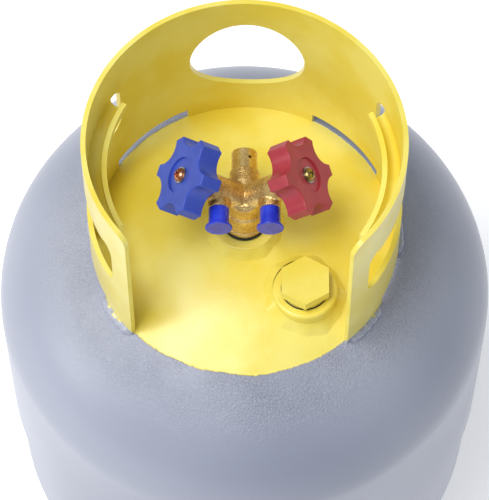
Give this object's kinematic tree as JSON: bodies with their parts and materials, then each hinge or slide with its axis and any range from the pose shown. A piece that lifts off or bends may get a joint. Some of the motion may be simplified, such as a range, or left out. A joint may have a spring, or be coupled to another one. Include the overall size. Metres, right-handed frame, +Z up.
{
  "type": "refrigerant recovery cylinder",
  "caption": "Refillable steel gas cylinder with a guard collar, two-handwheel liquid and vapor valve, relief valve, plug and foot ring.",
  "frame": {"origin": "centre of the foot ring underside, on the shell axis", "axes": "+Z up the shell axis, -Y towards the collar opening and the valve ports, +X towards the liquid (red) handwheel"},
  "size_m": [0.311, 0.311, 0.4788],
  "materials": {
    "shell_paint": "grainy grey powder coat, yellow over the crown",
    "collar_paint": "semi-gloss yellow paint",
    "forged_brass": "shot-blasted forged brass",
    "machined_brass": "turned brass",
    "copper_gasket": "annealed copper",
    "seat_plastic": "moulded seat plastic",
    "seal_rubber": "black seal rubber",
    "thread_sealant": "dark thread sealant",
    "blue_wheel_plastic": "satin moulded plastic",
    "red_wheel_plastic": "satin moulded plastic",
    "plated_steel": "zinc plated",
    "screw_plating": "copper-tinted plating",
    "cap_vinyl": "soft glossy vinyl",
    "tube_steel": "drawn steel tube",
    "spring_steel": "bright spring wire"
  },
  "bodies": {
    "cylinder": {"upper_shell": "shell_paint", "lower_shell": "shell_paint", "shell_weld": "shell_paint", "foot_ring": "shell_paint", "foot_ring_weld": "shell_paint", "collar": "collar_paint", "collar_welds": "collar_paint", "valve_boss": "collar_paint", "valve_boss_weld": "collar_paint", "plug_boss": "collar_paint", "plug_boss_weld": "collar_paint", "hex_plug": "collar_paint", "plug_seal": "thread_sealant", "valve_body": "forged_brass", "inlet_seal": "thread_sealant", "dip_tube": "tube_steel", "relief_cap": "machined_brass", "relief_spring": "spring_steel", "vapor_bonnet": "machined_brass", "vapor_bonnet_gasket": "copper_gasket", "liquid_bonnet": "machined_brass", "liquid_bonnet_gasket": "copper_gasket"},
    "vapor_seat": {"vapor_seat_disc": "seat_plastic"},
    "vapor_handle": {"vapor_stem": "machined_brass", "vapor_stem_rings": "seal_rubber", "vapor_handwheel": "blue_wheel_plastic", "vapor_washer": "plated_steel", "vapor_wheel_screw": "screw_plating"},
    "vapor_cap": {"vapor_port_cap": "cap_vinyl"},
    "liquid_seat": {"liquid_seat_disc": "seat_plastic"},
    "liquid_handle": {"liquid_stem": "machined_brass", "liquid_stem_rings": "seal_rubber", "liquid_handwheel": "red_wheel_plastic", "liquid_washer": "plated_steel", "liquid_wheel_screw": "screw_plating"},
    "liquid_cap": {"liquid_port_cap": "cap_vinyl"},
    "relief_plunger": {"relief_poppet": "machined_brass", "relief_seal": "seal_rubber"}
  },
  "joints": [
    {"name": "vapor_valve_lift", "type": "slide", "parent": "cylinder", "child": "vapor_seat", "axis": [-0.7782, 0, 0.628], "range_m": [0, 0.0045]},
    {"name": "vapor_handwheel_turn", "type": "hinge", "parent": "vapor_seat", "child": "vapor_handle", "pos_m": [0, 0, 0.4052], "axis": [-0.7782, 0, 0.628], "range_deg": [0, 1080]},
    {"name": "vapor_cap_pull", "type": "slide", "parent": "cylinder", "child": "vapor_cap", "axis": [0, -1, 0], "range_m": [0, 0.014]},
    {"name": "liquid_valve_lift", "type": "slide", "parent": "cylinder", "child": "liquid_seat", "axis": [0.7782, 0, 0.628], "range_m": [0, 0.0045]},
    {"name": "liquid_handwheel_turn", "type": "hinge", "parent": "liquid_seat", "child": "liquid_handle", "pos_m": [0, 0, 0.4052], "axis": [0.7782, 0, 0.628], "range_deg": [0, 1080]},
    {"name": "liquid_cap_pull", "type": "slide", "parent": "cylinder", "child": "liquid_cap", "axis": [0, -1, 0], "range_m": [0, 0.014]},
    {"name": "relief_lift", "type": "slide", "parent": "cylinder", "child": "relief_plunger", "axis": [0, 1, 0], "range_m": [0, 0.0015], "stiffness_N_per_m": 12000, "springref_m": -0.0023, "deforming": ["relief_spring"]}
  ],
  "couplings": [
    {"joint": "vapor_handwheel_turn", "follows": "vapor_valve_lift", "rad_per_m": 4188.8},
    {"joint": "liquid_handwheel_turn", "follows": "liquid_valve_lift", "rad_per_m": 4188.8}
  ]
}
